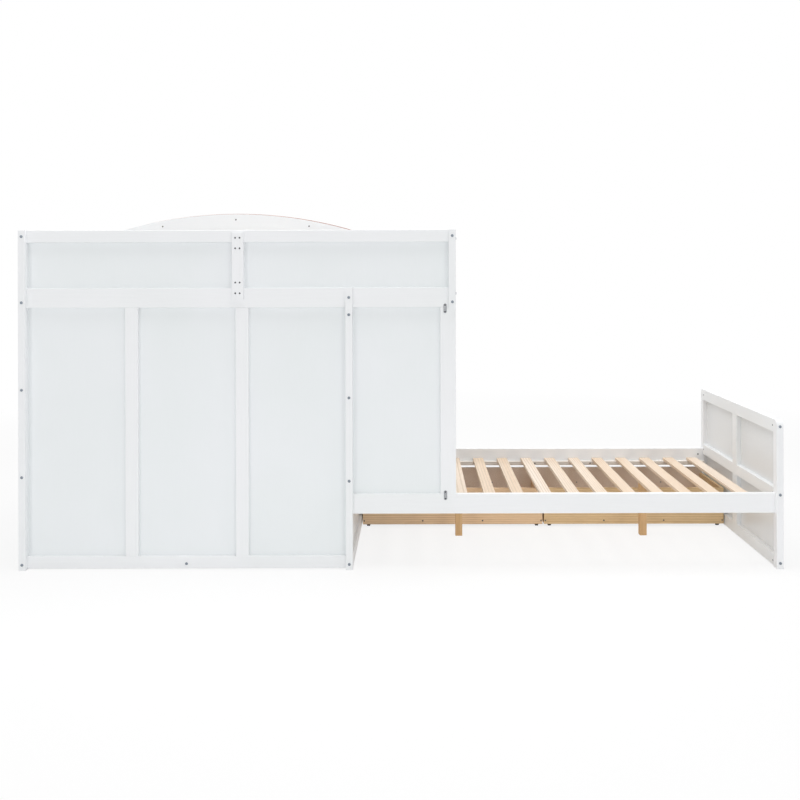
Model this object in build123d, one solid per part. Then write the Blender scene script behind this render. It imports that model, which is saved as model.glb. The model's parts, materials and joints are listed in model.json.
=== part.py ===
from build123d import *
import os

# A bunk bed with a tall storage section and a low bed that runs on from it, in millimetres.
# X runs along the bed, with the tall section at the high end and the footboard at the low end.
# The front, where the drawers open, faces -Y. The rear wall faces +Y. Z is up from the floor.
# The origin lies on the floor, in the middle of the outer box.

# Overall plan
mattress_length = 1930.0
bay_length = 1458.0
bed_width = 1050.0

# Heights above the floor
floor_play = 5.0
low_rail_bottom = 252.0
high_rail_bottom = 1195.0
guard_top = 1549.0
footboard_top = 678.0
arch_height = 139.0

# Posts, rails and panels
post_thickness = 32.0
post_depth = 38.0
rail_thickness = 22.0
side_rail_height = 90.0
rail_height = 55.0
seat_rail_height = 50.0
foot_rail_height = 60.0
foot_middle_lift = 85.0
head_rail_height = 65.0
panel_thickness = 6.0
panel_tongue = 8.0
end_panel_recess = 22.0
batten_width = 59.0
foot_stile_width = 60.0
guard_stile_width = 26.0
edge_round = 2.0
foot_corner_round = 30.0

# Rear wall
first_batten_gap = 450.0
second_batten_gap = 955.0
support_post_width = 71.0
guard_seam_gap = 967.0
lap_height = 24.0
joining_batten_thickness = 12.0
joining_batten_overlap = 37.0
joining_batten_drop = 12.0
batten_screw_drops = (23.0, 71.0)
batten_screw_lifts = (78.0, 29.0)
batten_screw_spread = 20.0

# Slats and what carries them
slat_width = 57.0
slat_thickness = 16.0
slat_pitch = 135.3
slat_head_gap = 74.0
slat_foot_gap = 40.1
beam_head_gap = 38.4
beam_foot_gap = 7.9
slat_end_play = 2.0
ledge_size = 22.0
high_ledge_lift = 30.0
leg_size = 35.0
leg_slat_count = 3

# Ladder and front guard
ladder_post_width = 50.0
rung_count = 3
rung_height = 28.0
rung_housing = 10.0
front_stile_width = 60.0
arch_thickness = 18.0
trim_width = 62.0
trim_thickness = 10.0
trim_lift = 3.5
trim_shift = 6.0
arch_screw_spread = 418.0

# Base of the tall section
base_board_thickness = 15.0

# Drawers
drawer_end_gap = 6.0
drawer_middle_gap = 8.0
drawer_back_inset = 668.0
drawer_front_inset = 22.0
drawer_floor_gap = 12.0
drawer_top_play = 16.0
drawer_side_drop = 33.0
drawer_front_thickness = 16.0
drawer_board = 15.0
bottom_thickness = 6.0
bottom_groove = 6.0
bottom_lift = 28.0
cleat_width = 20.0
cleat_height = 18.0
knob_radius = 15.0
knob_reach = 22.0
knob_spread = 480.0
knob_height = 150.0
knob_foot_radius = 9.0
knob_neck_radius = 6.3
knob_neck_reach = 10.0
knob_widest_reach = 16.5

# Castors
wheel_radius = 12.0
wheel_width = 16.0
wheel_side_play = 1.5
wheel_pocket_play = 1.0
castor_side_play = 2.5
front_wheel_setback = 20.0
axle_radius = 2.0
axle_play = 0.05
cheek_thickness = 2.0
cheek_front_reach = 10.0
cheek_back_reach = 5.0
cheek_drop = 4.0
yoke_half_length = 17.0
front_yoke_back_reach = 4.0
pin_overhang = 1.0
pin_fit = 0.01
pocket_skin = 3.0
pocket_play = 1.5

# Fasteners
bolt_radius = 3.0
bolt_head_radius = 6.5
bolt_head_height = 3.0
nut_radius = 5.0
nut_past_bolt = 5.0
end_rail_nut_inset = 8.0
side_rail_nut_inset = 30.0
cross_nut_inset = 24.0
bolt_past_nut = 8.0
bolt_head_round = 1.2
bolt_socket_depth = 2.0
screw_radius = 1.8
screw_head_radius = 4.0
screw_head_height = 1.2
screw_head_round = 0.7
screw_play = 0.1
rail_screw_bite = 15.0
trim_screw_bite = 6.0
knob_screw_bite = 9.0
drawer_screw_length = 37.0
drawer_screw_drop = 30.0
base_bolt_height = 26.0
low_side_bolt_lift = 57.0
high_side_bolt_lift = 63.0
guard_side_bolt_drop = 40.0
side_bolt_offset = 3.0
base_side_bolt_lift = 40.0
block_bolt_lift = 46.0
plate_width = 15.0
plate_height = 44.0
plate_thickness = 2.0
plate_round = 0.5
plate_inset = 49.0
plate_drops = (5.0, 6.0)
plate_screw_spread = 30.0
ledge_screw_pitch = 310.0

# How far a cutting shape runs past the face that it cuts
past = 1.0

# Places that follow from the sizes above
half_length = (mattress_length + bay_length + 3 * post_thickness) / 2
half_width = bed_width / 2
left_inner = half_length - post_thickness
part_high = left_inner - bay_length
part_low = part_high - post_thickness
foot_inner = part_low - mattress_length
upper_end_inner = left_inner - mattress_length
post_inner_y = half_width - post_depth
rail_outer_y = post_inner_y + rail_thickness
side_bolt_y = (post_inner_y + rail_outer_y) / 2 + side_bolt_offset
low_rail_top = low_rail_bottom + side_rail_height
high_rail_top = high_rail_bottom + side_rail_height
guard_rail_bottom = guard_top - rail_height
arch_peak = guard_top + arch_height
base_rail_top = floor_play + rail_height
drawer_back_y = half_width - drawer_back_inset
drawer_front_y = -(half_width - drawer_front_inset)
drawer_front_height = low_rail_bottom - drawer_top_play - drawer_floor_gap
drawer_side_height = drawer_front_height - drawer_side_drop

bolts = []
nuts = []
bolt_bores = []
nut_bores = []


def box_of(shape):
    """The lowest and highest corners of a shape."""
    bounds = shape.bounding_box()
    return tuple(bounds.min), tuple(bounds.max)


def boxes_meet(one, two):
    """True where two corner boxes touch or overlap."""
    return all(one[0][i] <= two[1][i] and two[0][i] <= one[1][i] for i in range(3))


def slab(x, y, z):
    """A plain board between pairs of low and high values."""
    spans = (x[1] - x[0], y[1] - y[0], z[1] - z[0])
    middle = ((x[0] + x[1]) / 2, (y[0] + y[1]) / 2, (z[0] + z[1]) / 2)
    return Pos(*middle) * Box(*spans)


def board(x, y, z, ease=edge_round):
    """A board with its four long edges rounded over."""
    spans = (x[1] - x[0], y[1] - y[0], z[1] - z[0])
    axis = (Axis.X, Axis.Y, Axis.Z)[spans.index(max(spans))]
    plain = slab(x, y, z)
    return fillet(plain.edges().filter_by(axis), ease).solid()


def rod(start, direction, length, radius):
    """A round bar that runs from start along direction."""
    bar = Cylinder(radius, length, align=(Align.CENTER, Align.CENTER, Align.MIN))
    return (Plane(origin=start, z_dir=direction) * bar).solid()


def along(start, direction, distance):
    """The point at a distance from start along a direction."""
    return tuple(start[i] + direction[i] * distance for i in range(3))


def cut(solids, tools):
    """Each solid with every tool that reaches it taken away."""
    boxed = [(tool, box_of(tool)) for tool in tools]
    result = []
    for solid in solids:
        here = box_of(solid)
        near = [tool for tool, place in boxed if boxes_meet(here, place)]
        shaped = solid
        for tool in near:
            shaped = shaped - tool
        result.extend(shaped.solids())
    return result


def centred(middle, height):
    """A low and a high value about a middle."""
    return (middle - height / 2, middle + height / 2)


def between(one, two):
    """Two values, the lower one first."""
    return (min(one, two), max(one, two))


def round_rim(head, outer, radius):
    """A screw or bolt head with the rim of its outer face rounded over."""
    circles = head.edges().filter_by(GeomType.CIRCLE)
    rim = circles.sort_by(lambda e: (e.center() - Vector(*outer)).length)[0]
    return fillet(rim, radius).solid()


def add_bolt(start, direction, nut_axis, nut_mouth, reach):
    """A bolt driven from start into a barrel nut whose mouth lies on the face nut_mouth."""
    length = reach + bolt_past_nut
    head = rod(start, tuple(-c for c in direction), bolt_head_height, bolt_head_radius)
    outer = along(start, direction, -bolt_head_height)
    hexagon = extrude(RegularPolygon(bolt_radius, 6), bolt_socket_depth)
    socket = Plane(origin=outer, z_dir=direction) * hexagon
    head = round_rim(head, outer, bolt_head_round) - socket
    shank = rod(start, direction, length, bolt_radius)
    bolts.append((head + shank).solid())
    bolt_bores.append(rod(start, direction, length + past, bolt_radius + screw_play))
    middle = along(start, direction, reach)
    mouth = list(middle)
    side = [i for i in range(3) if nut_axis[i]][0]
    mouth[side] = nut_mouth
    nut_length = abs(middle[side] - nut_mouth) + nut_past_bolt
    nuts.append(rod(tuple(mouth), nut_axis, nut_length, nut_radius))
    nut_bores.append(rod(tuple(mouth), nut_axis, nut_length, nut_radius + screw_play))


def screw(start, direction, length):
    """A pan head screw seated on a face at start, and the hole that it makes."""
    head = rod(start, tuple(-c for c in direction), screw_head_height, screw_head_radius)
    outer = along(start, direction, -screw_head_height)
    head = round_rim(head, outer, screw_head_round)
    shank = rod(start, direction, length, screw_radius)
    hole = rod(start, direction, length + screw_play, screw_radius + screw_play)
    return (head + shank).solid(), hole


def end_frame(inner_x, outward, rails, posts_z, recess):
    """Posts, rails and panels of a frame that stands across the bed, with its edge bolts."""
    x = between(inner_x, inner_x + outward * post_thickness)
    face = inner_x + outward * recess
    panel_x = between(face, face + outward * panel_thickness)
    posts = [board(x, y, posts_z) for y in ((post_inner_y, half_width), (-half_width, -post_inner_y))]
    bars = [board(x, (-post_inner_y, post_inner_y), (low, high)) for low, high in rails]
    seats = []
    gaps = zip(rails[:-1], rails[1:])
    for (low_z, low_top), (high_low, high_top) in gaps:
        z = (low_top - panel_tongue, high_low + panel_tongue)
        y = (-post_inner_y - panel_tongue, post_inner_y + panel_tongue)
        seats.append(slab(panel_x, y, z))
    return posts, bars, seats


def edge_bolts(inner_x, outward, heights):
    """Bolts from the rear and front edges of a frame into its rails."""
    middle_x = inner_x + outward * post_thickness / 2
    for height in heights:
        for side in (1, -1):
            start = (middle_x, side * half_width, height)
            add_bolt(start, (0, -side, 0), (outward, 0, 0), inner_x, post_depth + end_rail_nut_inset)


def side_bolts(outer_x, inward, heights, sink=0.0):
    """Bolts through a post into the ends of the rails along both sides, their heads sunk by sink."""
    for height in heights:
        for side in (1, -1):
            mouth = (outer_x, side * side_bolt_y, height)
            start = along(mouth, (inward, 0, 0), sink)
            reach = post_thickness - sink + side_rail_nut_inset
            add_bolt(start, (inward, 0, 0), (0, side, 0), side * post_inner_y, reach)
            if sink:
                bolt_bores.append(rod(mouth, (inward, 0, 0), sink, bolt_head_radius + screw_play))


def rail_pair(x, z):
    """A rear and a front rail of the same length and height."""
    rear = board(x, (post_inner_y, rail_outer_y), z)
    front = board(x, (-rail_outer_y, -post_inner_y), z)
    return [rear, front]


def rebated(x, z, side):
    """A panel let into the inner face of a side frame, reaching a tongue past its opening."""
    return slab(x, between(side * post_inner_y, side * (post_inner_y + panel_thickness)), z)


def slat_spans(x, low_gap, high_gap):
    """Low and high ends of evenly spaced slats between two members, at about the named pitch."""
    first = x[0] + low_gap
    run = x[1] - high_gap - slat_width - first
    steps = max(1, round(run / slat_pitch))
    lows = [first + run * i / steps for i in range(steps + 1)]
    return [(low, low + slat_width) for low in lows]


def slats_over(spans, top):
    """A slat across the bed for each span, with its upper face at top."""
    y = (-post_inner_y + slat_end_play, post_inner_y - slat_end_play)
    return [board(x, y, (top - slat_thickness, top)) for x in spans]


def ledges_in(x, z):
    """A front and a rear ledge, with the screws that hold them to the side rails."""
    inner = post_inner_y - ledge_size
    pair = []
    screws = []
    holes = []
    count = max(2, round((x[1] - x[0]) / ledge_screw_pitch) + 1)
    span = x[1] - x[0] - 2 * ledge_size
    for side in (1, -1):
        pair.append(board(x, between(side * inner, side * post_inner_y), z))
        for i in range(count):
            start = (x[0] + ledge_size + span * i / (count - 1), side * inner, (z[0] + z[1]) / 2)
            fixed, hole = screw(start, (0, side, 0), ledge_size + rail_screw_bite)
            screws.append(fixed)
            holes.append(hole)
    return pair, screws, holes


def write(name, solids):
    """One named piece, or a group of like pieces, as one STEP file."""
    shape = Compound(children=list(solids), label=name)
    export_step(shape, f"parts/{name}.step")


os.makedirs("parts", exist_ok=True)
made = {}
screw_holes = []

# End frames across the bed: heights of their rails from the floor up
seat_middle = high_rail_bottom + seat_rail_height / 2
top_middle = guard_top - rail_height / 2
left_step = (seat_middle - base_bolt_height) / 3
part_top_middle = high_rail_bottom - head_rail_height / 2
part_step = (part_top_middle - base_bolt_height) / 3
foot_top_middle = footboard_top - foot_rail_height / 2
foot_middle = low_rail_bottom + foot_middle_lift
bottom_rail = (floor_play, base_rail_top)
seat_rail = (high_rail_bottom, high_rail_bottom + seat_rail_height)
top_rail = (guard_rail_bottom, guard_top)
left_rails = [bottom_rail]
left_rails += [centred(base_bolt_height + left_step * i, rail_height) for i in (1, 2)]
left_rails += [seat_rail, top_rail]
part_rails = [bottom_rail]
part_rails += [centred(base_bolt_height + part_step * i, rail_height) for i in (1, 2)]
part_rails += [(high_rail_bottom - head_rail_height, high_rail_bottom)]
foot_rails = [bottom_rail]
foot_rails += [centred(foot_middle, rail_height)]
foot_rails += [(footboard_top - foot_rail_height, footboard_top)]
upper_rails = [seat_rail, top_rail]

# Left end, from the floor to the top of the guard
left_z = (0, guard_top)
posts, bars, seats = end_frame(left_inner, 1, left_rails, left_z, end_panel_recess)
made["left_end_posts"] = cut(posts, seats)
made["left_end_rails"] = cut(bars, seats)
made["left_end_panels"] = seats
edge_bolts(left_inner, 1, [base_bolt_height + left_step * i for i in range(4)] + [top_middle])

# Partition between the tall section and the low bed, its posts lapped over the upper side rails
part_recess = (post_thickness - panel_thickness) / 2
part_z = (0, high_rail_bottom + lap_height)
posts, bars, seats = end_frame(part_high, -1, part_rails, part_z, part_recess)
lap_z = (high_rail_bottom, part_z[1] + past)
lap_notch = slab((part_low - past, part_high + past), (-rail_outer_y, rail_outer_y), lap_z)
made["partition_posts"] = cut(posts, seats + [lap_notch])
made["partition_rails"] = cut(bars, seats)
made["partition_panels"] = seats
edge_bolts(part_high, -1, [base_bolt_height + part_step * i for i in range(4)])

# Blocks that finish the partition's posts over the rails, and the cross beam that they are bolted to
block_z = (part_z[1], high_rail_top)
made["partition_blocks"] = [
    slab((part_low, part_high), (rail_outer_y, half_width), block_z),
    slab((part_low, part_high), (-half_width, -rail_outer_y), block_z),
]
high_ledge_bottom = high_rail_bottom + high_ledge_lift
high_slat_top = high_ledge_bottom + ledge_size + slat_thickness
beam_y = (-post_inner_y, post_inner_y)
made["upper_cross_beam"] = [board((part_low, part_high), beam_y, (high_rail_bottom, high_slat_top))]
for side in (1, -1):
    start = ((part_low + part_high) / 2, side * half_width, high_rail_bottom + block_bolt_lift)
    add_bolt(start, (0, -side, 0), (1, 0, 0), part_low, post_depth + side_rail_nut_inset)

# Footboard, with rounded upper corners and a centre stile in each half
foot_z = (0, footboard_top)
posts, bars, seats = end_frame(foot_inner, -1, foot_rails, foot_z, end_panel_recess)
foot_x = (foot_inner - post_thickness, foot_inner)
corners = []
for side in (1, -1):
    middle_y = side * (half_width - foot_corner_round)
    corner_y = between(middle_y, side * (half_width + past))
    corner_z = (footboard_top - foot_corner_round, footboard_top + past)
    corner = slab((foot_x[0] - past, foot_x[1] + past), corner_y, corner_z)
    kept_start = (foot_x[0] - past, middle_y, corner_z[0])
    kept = rod(kept_start, (1, 0, 0), post_thickness + 2 * past, foot_corner_round)
    corners.append(corner - kept)
stile_y = centred(0, foot_stile_width)
stiles = []
for (low_z, low_top), (high_low, high_top) in zip(foot_rails[:-1], foot_rails[1:]):
    stiles.append(board(foot_x, stile_y, (low_top, high_low)))
web = foot_stile_width / 2 - panel_tongue
web_core = slab((foot_x[0] - past, foot_x[1] + past), (-web, web), (0, footboard_top))
foot_panels = cut(seats, [web_core])
made["footboard_posts"] = cut(posts, foot_panels + corners)
made["footboard_rails"] = cut(bars + stiles, foot_panels)
made["footboard_panels"] = foot_panels
edge_bolts(foot_inner, -1, [base_bolt_height, foot_middle, foot_top_middle])

# Upper end over the low bed
upper_z = (high_rail_bottom, guard_top)
posts, bars, seats = end_frame(upper_end_inner, -1, upper_rails, upper_z, end_panel_recess)
made["upper_end_posts"] = cut(posts, seats)
made["upper_end_rails"] = cut(bars, seats)
made["upper_end_panel"] = seats
edge_bolts(upper_end_inner, -1, [seat_middle, top_middle])

# Rear guard of the upper bunk, made in two halves that meet at a seam
seam = left_inner - guard_seam_gap
halves = [(upper_end_inner, seam), (seam, left_inner)]
stile_spans = [(seam - guard_stile_width, seam), (seam, seam + guard_stile_width)]
rear_y = (post_inner_y, rail_outer_y)
guard_bars = [board(x, rear_y, top_rail) for x in halves]
guard_bars += [board(x, rear_y, (high_rail_top, guard_rail_bottom)) for x in stile_spans]
guard_panels = []
for low_x, high_x in ((upper_end_inner, stile_spans[0][0]), (stile_spans[1][1], left_inner)):
    reach_low = panel_tongue if low_x > upper_end_inner else 0
    reach_high = panel_tongue if high_x < left_inner else 0
    panel_z = (high_rail_top - panel_tongue, guard_rail_bottom + panel_tongue)
    guard_panels.append(rebated((low_x - reach_low, high_x + reach_high), panel_z, 1))
made["rear_guard_frame"] = cut(guard_bars, guard_panels)
made["rear_guard_panels"] = guard_panels

# Batten that joins the two halves, with its eight screws
joiner_x = centred(seam, 2 * guard_stile_width)
joiner_z = (high_rail_bottom + joining_batten_overlap, guard_top - joining_batten_drop)
joiner_y = (rail_outer_y, rail_outer_y + joining_batten_thickness)
joiner = board(joiner_x, joiner_y, joiner_z)
joiner_screws = []
joiner_holes = []
batten_heights = [joiner_z[1] - drop for drop in batten_screw_drops]
batten_heights += [joiner_z[0] + lift for lift in batten_screw_lifts]
for height in batten_heights:
    for across in centred(0, batten_screw_spread):
        start = (seam + across, joiner_y[1], height)
        fixed, hole = screw(start, (0, -1, 0), joining_batten_thickness + rail_screw_bite)
        joiner_screws.append(fixed)
        joiner_holes.append(hole)
made["rear_guard_batten"] = cut([joiner], joiner_holes)
made["guard_batten_screws"] = joiner_screws
screw_holes += joiner_holes

# Side rails of the upper bunk: the rear one in two lengths, the front one whole
high_z = (high_rail_bottom, high_rail_top)
front_y = (-rail_outer_y, -post_inner_y)
high_rails = [board(x, rear_y, high_z) for x in halves]
high_rails.append(board((upper_end_inner, left_inner), front_y, high_z))

# Front guard over the tall section, which ends at the ladder
ladder_inner = part_low - ladder_post_width
front_middle = (half_length + ladder_inner) / 2
front_bars = [board((part_low, left_inner), front_y, top_rail)]
front_stile = centred(front_middle, front_stile_width)
front_bars.append(board(front_stile, front_y, (high_rail_top, guard_rail_bottom)))
front_panels = []
for x in ((part_low, front_stile[0] + panel_tongue), (front_stile[1] - panel_tongue, left_inner)):
    panel_z = (high_rail_top - panel_tongue, guard_rail_bottom + panel_tongue)
    front_panels.append(rebated(x, panel_z, -1))
made["front_guard_frame"] = cut(front_bars, front_panels)
made["front_guard_panels"] = front_panels

# Wall at the back of the tall section, with two battens between three panels
base_x = (part_high, left_inner)
batten_gaps = (first_batten_gap, second_batten_gap)
batten_lows = [left_inner - gap - batten_width for gap in batten_gaps]
wall_z = (base_rail_top, high_rail_bottom)
battens = [board((low, low + batten_width), rear_y, wall_z) for low in batten_lows]
edges_x = [left_inner] + [v for low in batten_lows for v in (low + batten_width, low)] + [part_high]
wall_panels = []
for i in range(0, len(edges_x), 2):
    high_x, low_x = edges_x[i], edges_x[i + 1]
    reach_high = panel_tongue if high_x < left_inner else 0
    reach_low = panel_tongue if low_x > part_high else 0
    panel_z = (wall_z[0] - panel_tongue, wall_z[1] + panel_tongue)
    wall_panels.append(rebated((low_x - reach_low, high_x + reach_high), panel_z, 1))
made["rear_wall_battens"] = cut(battens, wall_panels)
made["rear_wall_panels"] = wall_panels

# Panel and post behind the head of the low bed
support_x = (upper_end_inner - post_thickness, upper_end_inner - post_thickness + support_post_width)
support_z = (low_rail_top, high_rail_bottom)
infill_z = (low_rail_top - panel_tongue, high_rail_bottom + panel_tongue)
infill = rebated((support_x[1] - panel_tongue, part_low), infill_z, 1)
support = board(support_x, rear_y, support_z)
made["rear_support_post"] = cut([support], [infill])
made["rear_infill_panel"] = [infill]

rear_panels = guard_panels + wall_panels + [infill]
made["upper_side_rails"] = cut(high_rails, rear_panels + front_panels)

# Base of the tall section: rails, a cross member at mid length, ledges and the floor board
base_z = (floor_play, base_rail_top)
base_rails = rail_pair(base_x, base_z)
base_middle = (part_high + left_inner) / 2
board_z = (base_rail_top - base_board_thickness, base_rail_top)
cross_z = (floor_play, board_z[0])
cross = board(centred(base_middle, post_thickness), beam_y, cross_z)
base_ledges = []
for side in (1, -1):
    inner = post_inner_y - ledge_size
    y = between(side * inner, side * post_inner_y)
    low_half = (base_x[0], base_middle - post_thickness / 2)
    high_half = (base_middle + post_thickness / 2, base_x[1])
    for x in (low_half, high_half):
        base_ledges.append(board(x, y, (board_z[0] - ledge_size, board_z[0])))
made["base_frame"] = cut(base_rails + [cross] + base_ledges, wall_panels)
made["base_board"] = [slab(base_x, beam_y, board_z)]
for side in (1, -1):
    start = (base_middle, side * rail_outer_y, base_bolt_height)
    reach = rail_thickness + cross_nut_inset
    add_bolt(start, (0, -side, 0), (1, 0, 0), base_middle - post_thickness / 2, reach)

# Low bed: side rails, ledges, slats and the two legs under them
low_x = (foot_inner, part_low)
low_z = (low_rail_bottom, low_rail_top)
made["lower_side_rails"] = cut(rail_pair(low_x, low_z), [infill])
low_slat_top = low_rail_bottom + ledge_size + slat_thickness
low_pair, low_screws, low_holes = ledges_in(low_x, (low_rail_bottom, low_rail_bottom + ledge_size))
high_ledge_z = (high_ledge_bottom, high_ledge_bottom + ledge_size)
near_pair, near_screws, near_holes = ledges_in((part_high, left_inner), high_ledge_z)
far_pair, far_screws, far_holes = ledges_in((upper_end_inner, part_low), high_ledge_z)
made["slat_ledges"] = cut(low_pair + near_pair + far_pair, low_holes + near_holes + far_holes)
made["ledge_screws"] = low_screws + near_screws + far_screws
screw_holes += low_holes + near_holes + far_holes
low_spans = slat_spans(low_x, slat_foot_gap, slat_head_gap)
beam_spans = slat_spans((upper_end_inner, part_low), slat_head_gap, beam_head_gap)
bay_spans = slat_spans((part_high, left_inner), beam_foot_gap, slat_foot_gap)
made["lower_slats"] = slats_over(low_spans, low_slat_top)
made["upper_slats"] = slats_over(beam_spans + bay_spans, high_slat_top)
legs = []
for span in (low_spans[leg_slat_count], low_spans[-1 - leg_slat_count]):
    middle_x = sum(span) / 2
    leg_z = (0, low_slat_top - slat_thickness)
    legs.append(board(centred(middle_x, leg_size), centred(0, leg_size), leg_z))
made["slat_support_legs"] = legs

# Ladder at the front of the low bed's head, whose left post also ends the front guard
ladder_y = (-half_width, -post_inner_y)
left_post = board((ladder_inner, part_low), ladder_y, (low_rail_top, guard_top))
right_post = board(support_x, ladder_y, support_z)
housing = slab((ladder_inner - past, part_low + past), (-rail_outer_y, past - post_inner_y), high_z)
rungs = []
rung_step = (high_rail_top - low_rail_top) / (rung_count + 1)
for i in range(rung_count):
    middle_z = low_rail_top + rung_step * (i + 1)
    rung_x = (support_x[1] - rung_housing, ladder_inner + rung_housing)
    rungs.append(board(rung_x, ladder_y, centred(middle_z, rung_height), ease=rung_height / 4))
made["ladder_rungs"] = rungs
made["ladder_posts"] = cut([left_post, right_post], rungs + [housing])

# Arched board on top of the front guard, and the moulding along its edge
half_chord = (half_length - ladder_inner) / 2
rise = arch_peak - trim_lift - guard_top
arch_radius = (half_chord**2 + rise**2) / (2 * rise)
arch_y = -post_inner_y


def arch_disc(radius, y_face, thickness, shift=0.0):
    """A disc across the bed about the arch's centre, from the face at y_face towards the front."""
    centre = (front_middle - shift, y_face, arch_peak - trim_lift - arch_radius)
    return rod(centre, (0, -1, 0), thickness, radius)


chord = slab((ladder_inner, half_length), (-half_width, arch_y), (guard_top, arch_peak + past))
arch = (arch_disc(arch_radius, arch_y, arch_thickness) & chord).solid()
trim_y = arch_y - arch_thickness
trim_radius = arch_radius + trim_lift
ring = arch_disc(trim_radius, trim_y, trim_thickness, trim_shift)
ring = ring - arch_disc(trim_radius - trim_width, trim_y + past, trim_thickness + 2 * past, trim_shift)
trim = (ring & chord).solid()
arch_screws = []
arch_holes = []
screw_radius_line = arch_radius - trim_width / 2
for across in (-arch_screw_spread, 0, arch_screw_spread):
    height = arch_peak - trim_lift - arch_radius + (screw_radius_line**2 - across**2) ** 0.5
    start = (front_middle + across, arch_y, height)
    fixed, hole = screw(start, (0, -1, 0), arch_thickness + trim_screw_bite)
    arch_screws.append(fixed)
    arch_holes.append(hole)
made["arch_board"] = cut([arch], arch_holes)
made["arch_moulding"] = cut([trim], arch_holes)
made["arch_screws"] = arch_screws

# Mending plates over the two joints of the rear support post
plates = []
plate_screws = []
plate_holes = []
plate_x = support_x[0] + plate_inset
plate_y = (rail_outer_y, rail_outer_y + plate_thickness)
for joint_z, plate_drop in zip((high_rail_bottom, low_rail_top), plate_drops):
    plate_middle = joint_z - plate_drop
    plate_z = centred(plate_middle, plate_height)
    plate = board(centred(plate_x, plate_width), plate_y, plate_z, ease=plate_round)
    for height in centred(plate_middle, plate_screw_spread):
        start = (plate_x, plate_y[1], height)
        fixed, hole = screw(start, (0, -1, 0), plate_thickness + rail_screw_bite)
        plate_screws.append(fixed)
        plate_holes.append(hole)
    plates.append(plate)
made["mending_plates"] = cut(plates, plate_holes)
made["plate_screws"] = plate_screws
screw_holes += plate_holes

# Bolts through the ends of the side rails
base_bolt_place = floor_play + base_side_bolt_lift
low_bolt_place = low_rail_bottom + low_side_bolt_lift
high_bolt_place = high_rail_bottom + high_side_bolt_lift
guard_bolt_place = guard_top - guard_side_bolt_drop
side_bolts(half_length, -1, [base_bolt_place, high_bolt_place, guard_bolt_place])
side_bolts(foot_inner - post_thickness, 1, [low_bolt_place])
side_bolts(part_high, -1, [low_bolt_place], bolt_head_height)
side_bolts(upper_end_inner - post_thickness, 1, [high_bolt_place])
rear_guard_bolt = (upper_end_inner - post_thickness, side_bolt_y, guard_bolt_place)
add_bolt(rear_guard_bolt, (1, 0, 0), (0, 1, 0), post_inner_y, post_thickness + side_rail_nut_inset)


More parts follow.
